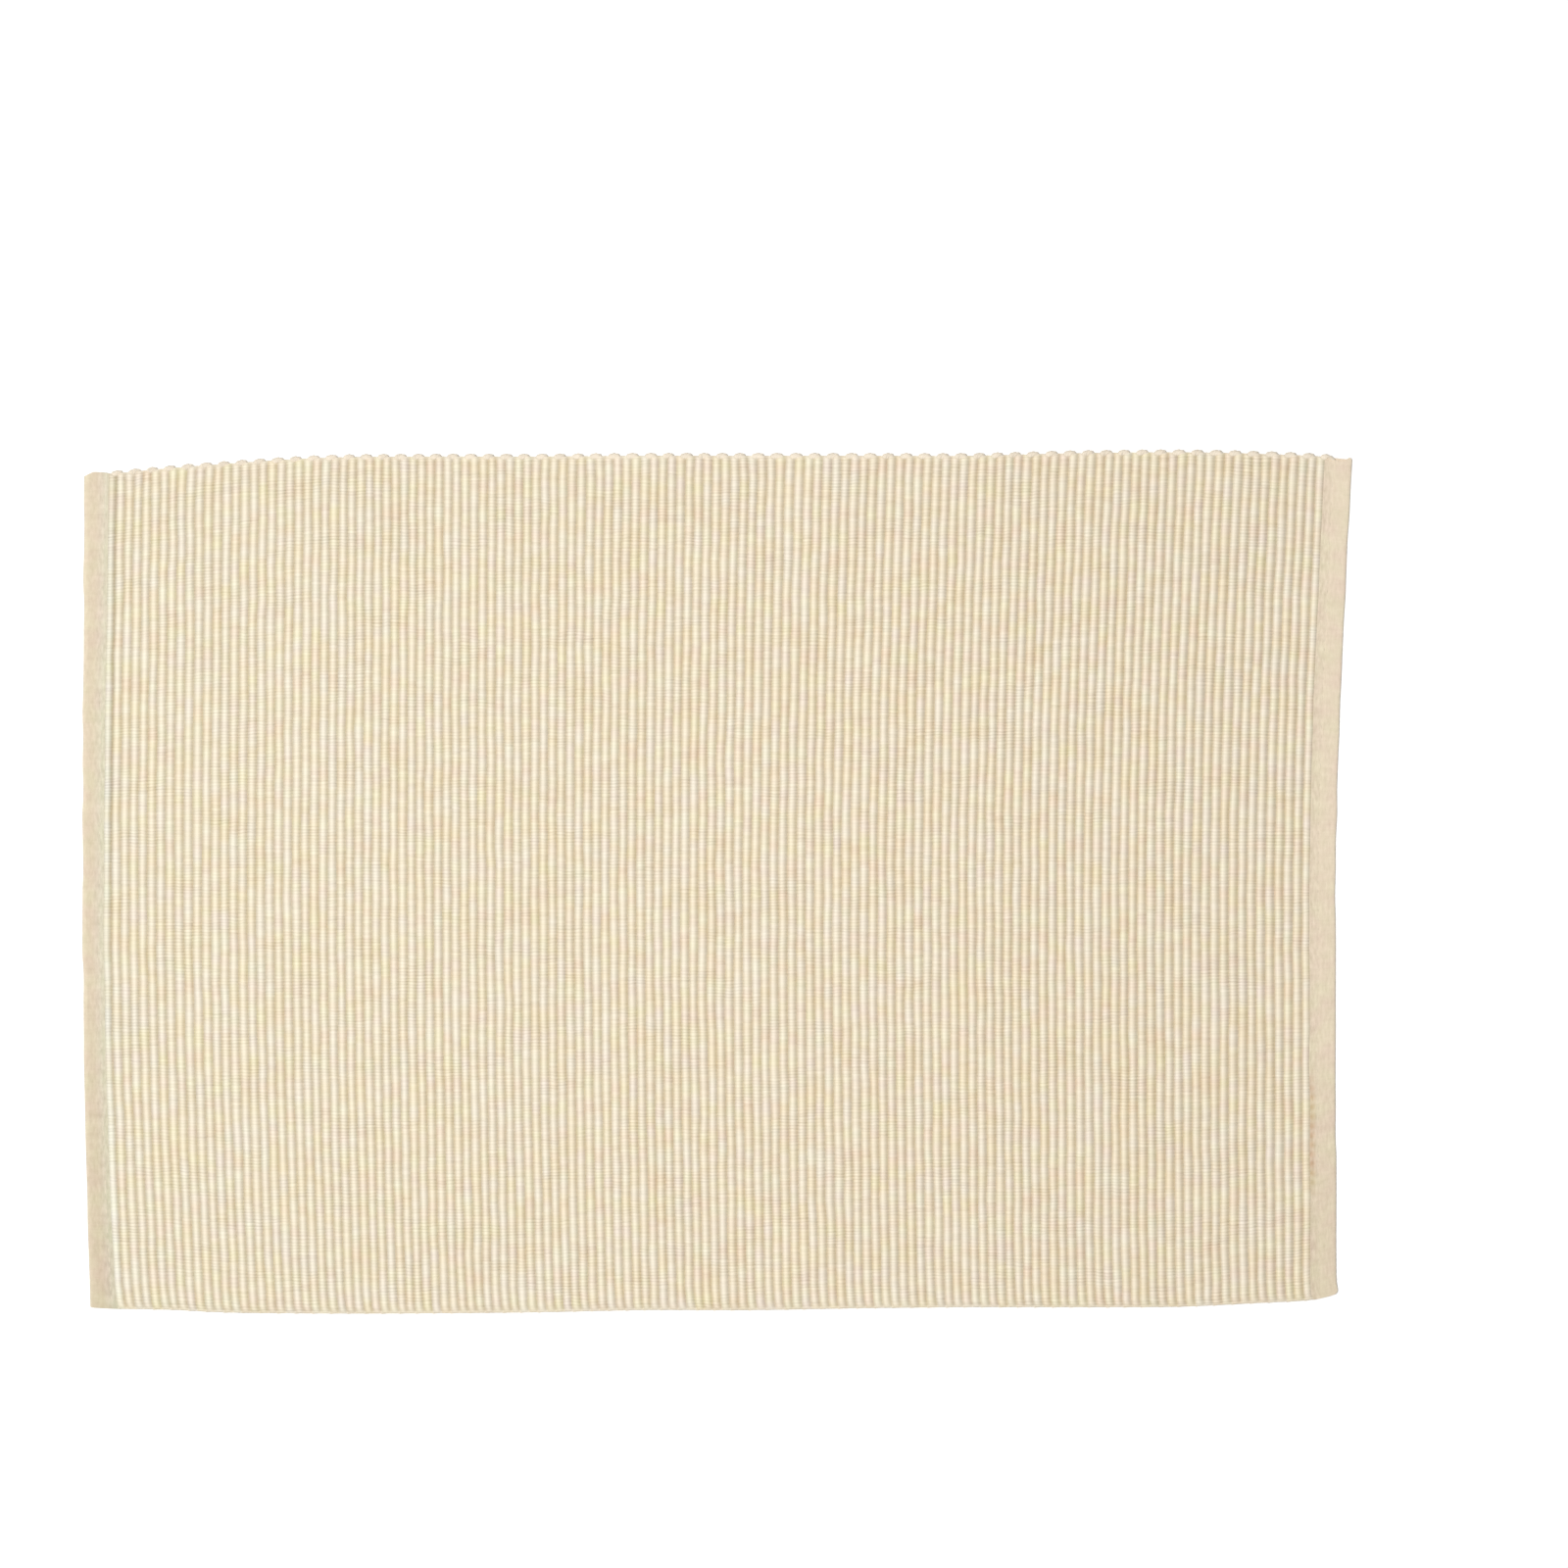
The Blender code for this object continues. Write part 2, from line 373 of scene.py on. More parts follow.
def rib_weave_cotton(sizes, colours):
    """Warp-faced rib weave: fine warp threads side by side over thick cords, undyed and matt.

    Each thread is a low ridge across the ribs, no two equally thick or pale, so the light breaks
    into short fine lines, clearer in some places than in others.
    """
    material, shader = new_cotton("rib_weave_cotton", roughness=0.6, gloss=0.5)
    node = partial(add_node, material)
    uv = node("UVMap", {}, uv_map="weave")
    flat = node("SeparateXYZ", {0: uv})
    x, y = flat.outputs[0], flat.outputs[1]

    # thread number along the rib, drifting a little so that the spacing isn't even
    drift = node("TexNoise", {"Vector": uv, "Scale": 120.0, "Detail": 2.0})
    even = node("Math", {0: y, 1: sizes.warp_spacing}, operation="DIVIDE")
    thread = node("Math", {0: drift, 1: 1.3, 2: even}, operation="MULTIPLY_ADD")
    turn = node("Math", {0: thread, 1: math.pi}, operation="MULTIPLY")
    wave = node("Math", {0: turn}, operation="SINE")
    ridge = node("Math", {0: wave}, operation="ABSOLUTE")

    # each float of a thread over one rib has its own thickness and tone
    pitches = node("Math", {0: x, 1: sizes.rib_pitch}, operation="DIVIDE")
    rib = node("Math", {0: pitches, 1: sizes.rib_count / 2}, operation="ADD")
    number = node("Math", {0: rib}, operation="FLOOR")
    thread_number = node("Math", {0: thread}, operation="FLOOR")
    cell = node("CombineXYZ", {0: number, 1: thread_number})
    dice = node("TexWhiteNoise", {0: cell}, noise_dimensions="2D")
    along = node("CombineXYZ", {0: number, 1: y})
    lump = node("TexNoise", {"Vector": along, "Scale": 1150.0, "Detail": 2.0})

    # where the threads stand out: patches about a centimetre across
    flattened = node("Mapping", {"Vector": uv, "Scale": (0.5, 1.0, 1.0)})
    patches = node("TexNoise", {"Vector": flattened, "Scale": 95.0, "Detail": 3.0})
    limits = {"From Min": 0.4, "From Max": 0.62, "To Min": 0.15, "To Max": 1.0}
    patch = node("MapRange", {"Value": patches, **limits})

    # a thread that is thicker or thinner stays so over many ribs
    drawn_out = node("Mapping", {"Vector": uv, "Scale": (0.035, 1.0, 1.0)})
    slub = node("TexNoise", {"Vector": drawn_out, "Scale": 1150.0, "Detail": 2.0})

    short = node("Mapping", {"Vector": uv, "Scale": (0.35, 1.0, 1.0)})
    fibre = node("TexNoise", {"Vector": short, "Scale": 3200.0, "Detail": 2.0})
    height = node("Math", {0: dice, 1: 0.5, 2: patch}, operation="MULTIPLY_ADD")
    threads = node("Math", {0: ridge, 1: height}, operation="MULTIPLY")
    relief = node("Math", {0: fibre, 1: 0.35, 2: threads}, operation="MULTIPLY_ADD")
    bump = node("Bump", {"Height": relief, "Strength": 1.0, "Distance": 0.09 * MM})

    # painted shade down between two ribs, but for the long edges, where the weft fills the hollows
    fraction = node("Math", {0: rib}, operation="FRACT")
    lean = CREST_LEAN / sizes.rib_count
    from_crest = node("Math", {0: rib, 1: lean, 2: fraction}, operation="MULTIPLY_ADD")
    off_crest = node("Math", {0: from_crest, 1: 0.5}, operation="SUBTRACT")
    distance = node("Math", {0: off_crest}, operation="ABSOLUTE")
    limits = {"From Min": 0.08, "From Max": 0.5, "To Min": 0.0, "To Max": 0.8}
    depth = node("MapRange", {"Value": distance, **limits}, interpolation_type="SMOOTHSTEP")
    edge = -sizes.half_width
    limits = {"From Min": edge, "From Max": edge + 1.2 * MM, "To Min": 0.15, "To Max": 1.0}
    open_share = node("MapRange", {"Value": y, **limits})
    edge = sizes.half_width - TOP_INSET
    limits = {"From Min": edge - 1.9 * MM, "From Max": edge, "To Min": 1.0, "To Max": 0.7}
    open_top = node("MapRange", {"Value": y, **limits})
    open_depth = node("Math", {0: depth, 1: open_top}, operation="MULTIPLY")
    valley_shade = node("Math", {0: open_depth, 1: open_share, 2: RIB_TONE}, operation="MULTIPLY_ADD")

    # painted shade on the crests where they bow down to the bottom edge
    low, high = 0.5 * MM - sizes.half_width, 3.4 * MM - sizes.half_width
    limits = {"From Min": low, "From Max": high, "To Min": 0.4, "To Max": 0.0}
    bowed = node("MapRange", {"Value": y, **limits})
    on_crest = node("Math", {0: 0.8, 1: depth}, operation="SUBTRACT")
    bowed_crest_shade = node("Math", {0: on_crest, 1: bowed}, operation="MULTIPLY")

    # painted shade between two threads as well, but no darker on the whole
    gap = node("Math", {0: 2 / math.pi, 1: ridge}, operation="SUBTRACT")
    thread_gap_shade = node("Math", {0: gap, 1: patch}, operation="MULTIPLY")

    # painted shade in the hollow after the first rib, which the left seam draws in, least at the
    # bottom
    limits = {"From Min": 0.6, "From Max": 0.95, "To Min": 0.0, "To Max": 1.0}
    before = node("MapRange", {"Value": rib, **limits})
    limits = {"From Min": 1.0, "From Max": 1.3, "To Min": 1.0, "To Max": 0.0}
    after = node("MapRange", {"Value": rib, **limits})
    limits = {"From Min": -60 * MM, "From Max": 20 * MM, "To Min": 0.02, "To Max": 0.3}
    pull = node("MapRange", {"Value": y, **limits})
    beside = node("Math", {0: before, 1: after}, operation="MULTIPLY")
    first_hollow_shade = node("Math", {0: beside, 1: pull}, operation="MULTIPLY")

    # it also shades the first rib, all but its low end, and rubs it cooler and less rich, all but
    # its top, which is left a little darker
    limits = {"From Min": 0.7, "From Max": 1.0, "To Min": 1.0, "To Max": 0.0}
    first = node("MapRange", {"Value": rib, **limits})
    limits = {"From Min": -105 * MM, "From Max": -60 * MM, "To Min": 0.0, "To Max": 0.19}
    shade = node("MapRange", {"Value": y, **limits})
    shaded = node("Math", {0: first, 1: shade}, operation="MULTIPLY")
    limits = {"From Min": 128 * MM, "From Max": 148 * MM, "To Min": 1.0, "To Max": 0.0}
    below_top = node("MapRange", {"Value": y, **limits})
    rubbed = node("Math", {0: first, 1: below_top}, operation="MULTIPLY")
    unrubbed = node("Math", {0: first, 1: rubbed}, operation="SUBTRACT")

    # the ribs are a shade darker, cooler and less rich towards the mat's left end
    limits = {"From Min": -235 * MM, "From Max": 60 * MM, "To Min": 1.0, "To Max": 0.0}
    to_left = node("MapRange", {"Value": x, **limits})
    blotch = node("TexNoise", {"Vector": uv, "Scale": 45.0, "Detail": 4.0})
    parts = (
        (to_left, 0.03),
        (bowed_crest_shade, 1.0),
        (first_hollow_shade, 1.0),
        (shaded, 1.0),
        (unrubbed, 0.14),
        (thread_gap_shade, 0.32),
        (dice, 0.14),
        (slub, 0.3),
        (lump, 0.7),
        (blotch, 0.12),
    )

    # undyed cotton isn't one colour: each cord leans a little to pink or green, pale or rich
    casts = node("TexNoise", {"Vector": along, "Scale": 110.0, "Detail": 1.0})
    cast = node("SeparateXYZ", {0: casts.outputs["Color"]})
    limits = {"From Min": 0.3, "From Max": 0.7, "To Min": 0.482, "To Max": 0.518}
    hue = node("MapRange", {"Value": cast.outputs[0], **limits})
    limits = {"From Min": 0.3, "From Max": 0.7, "To Min": 0.82, "To Max": 1.18}
    richness = node("MapRange", {"Value": cast.outputs[1], **limits})
    for part, cooler, richer in ((to_left, 0.006, -0.05), (rubbed, 0.015, -0.2)):
        hue = node("Math", {0: part, 1: cooler, 2: hue}, operation="MULTIPLY_ADD")
        richness = node("Math", {0: part, 1: richer, 2: richness}, operation="MULTIPLY_ADD")
    tinted = shade_cotton(node, valley_shade, parts, colours.warp, colours.warp_shade, hue, richness)
    return dress(material, shader, tinted, bump)


def plain_weave_cotton(sizes, colours):
    """Plain weave of the same fine yarn, one over and one under: smooth, and faintly streaked.

    Its yarns are too fine to show in a picture of the whole mat, so they are drawn as the short
    millimetre-wide streaks, along and across, that the thicker ones among them make.
    """
    material, shader = new_cotton("plain_weave_cotton")
    node = partial(add_node, material)
    uv = node("UVMap", {}, uv_map="weave")
    flat = node("SeparateXYZ", {0: uv})
    x, y = flat.outputs[0], flat.outputs[1]
    upright = node("Mapping", {"Vector": uv, "Scale": (1.0, 0.3, 1.0)})
    weft = node("TexNoise", {"Vector": upright, "Scale": 950.0, "Detail": 2.0})
    level = node("Mapping", {"Vector": uv, "Scale": (0.12, 1.0, 1.0)})
    warp = node("TexNoise", {"Vector": level, "Scale": 800.0, "Detail": 2.0})
    grain = node("TexNoise", {"Vector": uv, "Scale": 1900.0, "Detail": 2.0})
    relief = node("Math", {0: warp, 1: 0.8, 2: weft}, operation="MULTIPLY_ADD")
    relief = node("Math", {0: grain, 1: 0.6, 2: relief}, operation="MULTIPLY_ADD")
    bump = node("Bump", {"Height": relief, "Strength": 1.0, "Distance": 0.1 * MM})

    # painted shade down where a hem meets the last rib, and painted light on the outer folds, which
    # makes them paler
    last_rib = sizes.rib_count / 2 * sizes.rib_pitch
    off_middle = node("Math", {0: x}, operation="ABSOLUTE")
    distance = node("Math", {0: off_middle, 1: last_rib}, operation="SUBTRACT")
    limits = {"From Min": 0.0, "From Max": 1.2 * MM, "To Min": 0.05, "To Max": -0.05}
    valley = node("MapRange", {"Value": distance, **limits})
    fold = last_rib + sizes.right_hem
    limits = {"From Min": fold - 1.2 * MM, "From Max": fold, "To Min": 0.0, "To Max": -0.3}
    right_fold_light = node("MapRange", {"Value": x, **limits})
    fold = -last_rib - sizes.left_hem
    limits = {"From Min": fold, "From Max": fold + 2.0 * MM, "To Min": -0.8, "To Max": 0.0}
    left_fold_light = node("MapRange", {"Value": x, **limits})

    # puckered by the stitching near the ribs
    limits = {"From Min": 1.0 * MM, "From Max": 4.0 * MM, "To Min": 1.0, "To Max": 0.0}
    near = node("MapRange", {"Value": distance, **limits})
    level_weft = node("Math", {0: weft, 1: 0.5}, operation="SUBTRACT")
    pucker = node("Math", {0: level_weft, 1: near}, operation="MULTIPLY")

    # low on the right, the seam runs so near the last rib that painted shade darkens the cloth
    # beside it, beating with the stitches
    limits = {"From Min": -10 * MM, "From Max": 10 * MM, "To Min": 0.0, "To Max": 1.0}
    on_right = node("MapRange", {"Value": x, **limits})
    limits = {"From Min": 0.4 * MM, "From Max": 2.1 * MM, "To Min": 1.0, "To Max": 0.0}
    by_rib = node("MapRange", {"Value": distance, **limits})
    limits = {"From Min": -124 * MM, "From Max": -114 * MM, "To Min": 0.0, "To Max": 1.0}
    above = node("MapRange", {"Value": y, **limits})
    limits = {"From Min": -84 * MM, "From Max": -72 * MM, "To Min": 1.0, "To Max": 0.0}
    below = node("MapRange", {"Value": y, **limits})
    stretch = node("Math", {0: above, 1: below}, operation="MULTIPLY")
    row = node("Math", {0: by_rib, 1: on_right}, operation="MULTIPLY")
    turn = node("Math", {0: y, 1: 2 * math.pi / sizes.stitch_pitch}, operation="MULTIPLY")
    stitch_beat = node("Math", {0: turn}, operation="SINE")
    share = node("Math", {0: stitch_beat, 1: 0.35, 2: 0.95}, operation="MULTIPLY_ADD")
    dotted = node("Math", {0: row, 1: share}, operation="MULTIPLY")
    seam_shade = node("Math", {0: dotted, 1: stretch}, operation="MULTIPLY")

    # the left seam has no such painted shade, but the cloth beside it is faded, and rubbed cool by
    # the rib
    on_left = node("Math", {0: 1.0, 1: on_right}, operation="SUBTRACT")
    rubbed = node("Math", {0: by_rib, 1: on_left}, operation="MULTIPLY")
    faded = node("Math", {0: near, 1: on_left}, operation="MULTIPLY")

    # painted shade, a little darker towards the mat's left end and at its bottom edge
    limits = {"From Min": -150 * MM, "From Max": -30 * MM, "To Min": 0.38, "To Max": 0.03}
    low_end_shade = node("MapRange", {"Value": y, **limits})
    blotch = node("TexNoise", {"Vector": uv, "Scale": 90.0, "Detail": 4.0})
    parts = (
        (seam_shade, 0.55),
        (faded, 0.1),
        (valley, 1.0),
        (right_fold_light, 1.0),
        (left_fold_light, 1.0),
        (low_end_shade, 1.0),
        (x, -1.3),
        (y, -0.6),
        (weft, 1.5),
        (warp, 0.6),
        (grain, 0.5),
        (pucker, 1.2),
        (blotch, 0.6),
    )

    # redder on the right, redder and richer in the painted shade by the right seam, less rich and
    # cooler by the left seam
    casts = node("TexNoise", {"Vector": uv, "Scale": 110.0, "Detail": 1.0})
    limits = {"From Min": 0.3, "From Max": 0.7, "To Min": 0.484, "To Max": 0.512}
    hue = node("MapRange", {"Value": casts, **limits})
    hue = node("Math", {0: on_right, 1: -0.003, 2: hue}, operation="MULTIPLY_ADD")
    hue = node("Math", {0: seam_shade, 1: -0.01, 2: hue}, operation="MULTIPLY_ADD")
    hue = node("Math", {0: rubbed, 1: 0.022, 2: hue}, operation="MULTIPLY_ADD")
    richness = node("Math", {0: faded, 1: -0.2, 2: 1.01}, operation="MULTIPLY_ADD")
    richness = node("Math", {0: seam_shade, 1: 0.25, 2: richness}, operation="MULTIPLY_ADD")
    tinted = shade_cotton(node, HEM_TONE, parts, colours.hem, colours.warp_shade, hue, richness)
    return dress(material, shader, tinted, bump)


def plain_yarn(name, tint, gloss=0.2):
    """Spun cotton yarn with no weave to break it up: the bare cord, or the thread of the hems."""
    material, shader = new_cotton(name, gloss=gloss)
    node = partial(add_node, material)
    place = node("TexCoord", {}).outputs["Object"]
    fuzz = node("TexNoise", {"Vector": place, "Scale": 2500.0, "Detail": 2.0})
    bump = node("Bump", {"Height": fuzz, "Strength": 0.5, "Distance": 0.05 * MM})
    blotch = node("TexNoise", {"Vector": place, "Scale": 300.0, "Detail": 2.0})
    limits = {"From Min": 0.3, "From Max": 0.7, "To Min": 0.93, "To Max": 1.04}
    paleness = node("MapRange", {"Value": blotch, **limits})
    tinted = node("HueSaturation", {"Value": paleness, "Color": tint})
    return dress(material, shader, tinted, bump)


# The pieces

RIB_CUTS = 6  # columns of points on one rib
CREST_LEAN = 0.15  # how far left of its middle the last rib's crest is, in pitches; the first's is 0
# The ribs' shape near their ends: thickness = the share of it that is left, fullness = how near
# all of the rib has come to one height, which is FULL_HEIGHT of its crest's
End = namedtuple("End", "from_end thickness fullness")
FULL_HEIGHT = 0.85
TOP_END = (
    End(from_end=0.0 * MM, thickness=0.6, fullness=0.5),
    End(from_end=0.15 * MM, thickness=0.8, fullness=0.45),
    End(from_end=0.5 * MM, thickness=0.92, fullness=0.3),
    End(from_end=1.1 * MM, thickness=0.98, fullness=0.1),
    End(from_end=2.2 * MM, thickness=1.0, fullness=0.0),
)
BOTTOM_END = (
    End(from_end=0.0 * MM, thickness=0.45, fullness=0.9),
    End(from_end=0.15 * MM, thickness=0.72, fullness=0.75),
    End(from_end=0.6 * MM, thickness=0.88, fullness=0.4),
    End(from_end=1.4 * MM, thickness=0.95, fullness=0.15),
    End(from_end=3.0 * MM, thickness=1.0, fullness=0.0),
)
MIDDLE_ROWS = 50  # rows of faces between the two shaped ends
TOP_INSET = 0.9 * MM  # how far inside the top edge the warp stops
OPEN_SCALLOP = 0.2 * MM  # that much less between two loops
LOOP_SCALLOP = 1.1 * MM  # and that much more in a loop
BOTTOM_INSET = 0.05 * MM


def weave_ribs(sizes):
    """Model the rib field as one closed slab whose two faces are ribbed alike."""
    top = sizes.half_width - TOP_INSET
    bottom = sizes.half_width - BOTTOM_INSET
    rows = [(BOTTOM_INSET + end.from_end - sizes.half_width, *end[1:], 0) for end in BOTTOM_END]
    first, last = -bottom + BOTTOM_END[-1].from_end, top - TOP_END[-1].from_end
    rows += [(y, 1.0, 0.0, 0.0) for y in np.linspace(first, last, MIDDLE_ROWS + 1)[1:-1]]
    for end in TOP_END[::-1]:
        scallop = (1 - end.from_end / TOP_END[-1].from_end) ** 2
        rows.append((top - end.from_end, *end[1:], scallop))
    rows = np.array(rows)

    across, along = sizes.rib_count * RIB_CUTS, len(rows) - 1
    cloth = add_lattice("ribbed_cloth", across, along)
    bpy.ops.object.mode_set(mode="EDIT")
    bpy.ops.mesh.select_all(action="SELECT")
    bpy.ops.mesh.extrude_region_move(TRANSFORM_OT_translate={"value": (0, 0, 1)})
    bpy.ops.object.mode_set(mode="OBJECT")
    column, row = number_points(cloth, across, along)
    side = np.where(points_of(cloth)[:, 2] > 0.5, 1, -1)

    rib = column / RIB_CUTS
    crest = np.sin(math.pi * (column % RIB_CUTS) / RIB_CUTS)
    y, thickness, fullness, scallop = rows[row].T
    in_turn = np.cos(math.pi * rib)
    y = y + scallop * in_turn * np.where(in_turn > 0, OPEN_SCALLOP, LOOP_SCALLOP)
    x = (rib - sizes.rib_count / 2 - CREST_LEAN * rib / sizes.rib_count * crest) * sizes.rib_pitch
    full = crest + (FULL_HEIGHT - crest) * fullness
    half = sizes.valley / 2 + (sizes.thickness - sizes.valley) / 2 * full
    z = sizes.thickness / 2 + side * half * thickness
    move_points(cloth, np.column_stack((x, y, z)))
    return cloth


def arc(centre, radii, first, last, steps):
    """Return points on an upright oval from one angle to another, in degrees."""
    angles = np.radians(np.linspace(first, last, steps))
    (across, up), (wide, tall) = centre, radii
    return [(across + wide * math.cos(angle), up + tall * math.sin(angle)) for angle in angles]


LEFT_CLIMB = 0.55 * MM  # how far up the last rib's flank the hem's cloth begins
RIGHT_CLIMB = 0.4 * MM
UNDER_RIB = 0.3 * MM  # how much of the cloth lies inside that rib
HEM_RAMP = 1.5 * MM  # from the ribs to where the hem is level
RAMP_CURVE = 2.5  # above 1, the ramp is steepest at its start
HEM_ROLL = 1.0 * MM  # how far the outer fold bulges
HEM_LIFT = 0.02 * MM  # how far the hem is off the surface
INNER_FOLD = 0.9 * MM  # from the ribs to the fold inside the hem
RAW_EDGE = 2 * MM  # from the outer fold to the raw edge, inside
LEFT_SEAM = 1.2 * MM  # from the ribs to the stitching
RIGHT_SEAM = 2.7 * MM
SEAM_DIP = 0.09 * MM  # how deep the stitching draws the cloth in
SEAM_REACH = 0.4 * MM  # how far from the stitching the cloth still dips
BEYOND_SEAM = 3.6 * MM  # from the ribs, past both seams


def hem_path(width, climb, seam, sizes):
    """Return the middle line of the hem's cloth: out on top, back underneath, raw edge inside."""
    half = sizes.hem_cloth / 2
    high, low = sizes.hem_thickness - half, half + HEM_LIFT
    raw = (high + low) / 2
    tuck = (raw - low) / 2
    rise = math.sin(math.pi * climb / sizes.rib_pitch)
    flank = sizes.valley + (sizes.thickness - sizes.valley) * rise
    start = (sizes.thickness + flank) / 2 - half
    level = width - HEM_ROLL - half

    def surface(out):
        ramp = max(0, 1 - (out + climb) / (HEM_RAMP + climb)) ** RAMP_CURVE
        dip = SEAM_DIP * math.exp(-(((out - seam) / SEAM_REACH) ** 2))
        return high + (start - high) * ramp - dip

    # points down the ramp, across the seam and over the level part
    stops = [step * MM for step in (0.2, 0.6, 1.0)]
    stops += [seam + step * SEAM_REACH for step in (-1, 0, 1)]
    stops += list(np.linspace(BEYOND_SEAM, level, 8))
    path = [(-climb - UNDER_RIB, start), (-climb, start)]
    path += [(out, surface(out)) for out in sorted(stops)]
    path += arc((level, raw), (HEM_ROLL, high - raw), 90, -90, 11)[1:]
    path += [(out, low) for out in np.linspace(width - RAW_EDGE, INNER_FOLD + 0.3 * MM, 4)]
    path += arc((INNER_FOLD, low + tuck), (tuck, tuck), 270, 90, 7)
    path += [(width - RAW_EDGE, raw)]
    return path


HEM_ROWS = 110  # rows of faces along a hem
# How far each end of a hem stops short of the mat's edge, at some distances out from the ribs,
# in millimetres
HemEnd = namedtuple("HemEnd", "out short")
HEM_ENDS = {
    "left_hem": {
        "top": (
            HemEnd(out=-0.8, short=0.7),
            HemEnd(out=0.4, short=0.3),
            HemEnd(out=2.0, short=0.0),
            HemEnd(out=4.9, short=0.0),
            HemEnd(out=7.9, short=1.9),
        ),
        "bottom": (HemEnd(out=7.4, short=0.0), HemEnd(out=7.9, short=0.4)),
    },
    "right_hem": {
        "top": (
            HemEnd(out=1.8, short=0.9),
            HemEnd(out=2.8, short=1.8),
            HemEnd(out=6.8, short=1.9),
            HemEnd(out=8.3, short=0.1),
            HemEnd(out=9.0, short=0.2),
            HemEnd(out=9.7, short=1.0),
        ),
        "bottom": (
            HemEnd(out=8.1, short=0.0),
            HemEnd(out=9.2, short=0.7),
            HemEnd(out=9.7, short=2.0),
        ),
    },
}


def fold_hem(name, width, side, climb, seam, sizes):
    """Model one hem as a strip of plain cloth folded twice, side -1 left and 1 right."""
    path = np.array(hem_path(width, climb, seam, sizes))
    strip = add_lattice(name, len(path) - 1, HEM_ROWS)
    column, row = number_points(strip, len(path) - 1, HEM_ROWS)
    out, z = path[column].T
    share = row / HEM_ROWS * 2 - 1
    top, bottom = (
        np.interp(out, *(np.array(HEM_ENDS[name][end]).T * MM)) for end in ("top", "bottom")
    )
    x = side * (sizes.rib_count / 2 * sizes.rib_pitch + out)
    y = share * (sizes.half_width - np.where(share > 0, top, bottom))
    move_points(strip, np.column_stack((x, y, z)))
    apply_modifier(strip, "SOLIDIFY", thickness=sizes.hem_cloth, offset=0.0)
    return strip


PLIES = 3
PLY_RADIUS = 0.27  # in widths of the cord
PLY_LAY = 3.2 * MM  # along the cord, one turn of its plies
LOOP_STEPS = 18  # points along a loop
LOOP_CURVE = 0.7  # below 1, a loop is squarer than an oval
LOOP_LEG = 2.2 * MM  # how far a loop's legs run into the ribs
LEG_TAPER = 0.4  # the share by which they are thinner at their ends
TAPER_CURVE = 3  # how late along them that sets in
TOP_SLANT = 0.35 * MM  # how far a top loop's right leg stands out to the side
MERGE = 0.001 * MM  # points nearer than this are one


def loop_line(reach, weft, slant, sizes):
    """Return the middle line of a loop from one rib into the next, out of an edge at y = 0."""
    radius = sizes.rib_pitch / 2
    rise = reach - weft / 2 + LOOP_LEG
    angles = np.linspace(0, math.pi, LOOP_STEPS)
    x = -radius * np.cos(angles) + slant * (1 - np.cos(angles)) / 2
    y = -LOOP_LEG + rise * np.sin(angles) ** LOOP_CURVE
    return np.column_stack((x, y, np.full(LOOP_STEPS, sizes.thickness / 2)))


def draw_ply(name, points, radius, taper):
    """Draw one ply as a round curve through the points, thinned by the taper at each."""
    data = bpy.data.curves.new(name, "CURVE")
    data.dimensions = "3D"
    data.bevel_depth = radius
    data.bevel_resolution = 1
    data.use_fill_caps = True
    spline = data.splines.new("POLY")
    spline.points.add(len(points) - 1)
    for knot, place, share in zip(spline.points, points, taper):
        knot.co = (*place, 1)
        knot.radius = share
    ply = bpy.data.objects.new(name, data)
    bpy.context.scene.collection.objects.link(ply)
    return ply


def twist_cord(name, line, weft, sizes):
    """Model a cord along the line: plies twisted round each other, thinner towards both ends."""
    ahead = np.gradient(line, axis=0)
    ahead /= np.linalg.norm(ahead, axis=1)[:, None]
    aside = np.cross(ahead, (0, 0, 1))
    travelled = np.concatenate(([0], np.cumsum(np.linalg.norm(np.diff(line, axis=0), axis=1))))
    radius = weft * PLY_RADIUS
    offset = weft / 2 - radius
    lift = min(offset, sizes.thickness / 2 - radius)
    taper = 1 - LEG_TAPER * np.abs(np.linspace(-1, 1, len(line))) ** TAPER_CURVE
    plies = []
    for number in range(PLIES):
        turn = 2 * math.pi * (number / PLIES + travelled / PLY_LAY)
        across = (offset * taper * np.cos(turn))[:, None] * aside
        upward = (lift * taper * np.sin(turn))[:, None] * np.array((0, 0, 1))
        plies.append(draw_ply(name, line + across + upward, radius, taper))
    bpy.ops.object.select_all(action="DESELECT")
    for ply in plies:
        ply.select_set(True)
    bpy.context.view_layer.objects.active = plies[0]
    bpy.ops.object.convert(target="MESH")
    bpy.ops.object.join()
    cord = start(name)
    apply_modifier(cord, "WELD", merge_threshold=MERGE)
    return cord


def turn_loops(name, end, first_rib, count, reach, weft, slant, sizes):
    """Model the weft's turns along one edge, end 1 top and -1 bottom, each joining two ribs."""
    loops = twist_cord(name, loop_line(reach, weft, slant, sizes), weft, sizes)
    repeat(loops, count, (2 * sizes.rib_pitch, 0, 0))
    points = points_of(loops)
    points[:, 0] += (first_rib - sizes.rib_count / 2) * sizes.rib_pitch
    draw_out_last(points, sizes)
    points[:, 1] = end * (sizes.half_width + points[:, 1])
    move_points(loops, points)
    return loops


LAST_STRETCH = 1.25  # how much wider the half loop beyond the last rib is drawn
LAST_SLOPE = 0.3  # how steeply it falls towards the hem
LAST_LEG = 0.6  # the share of its leg's length that is left


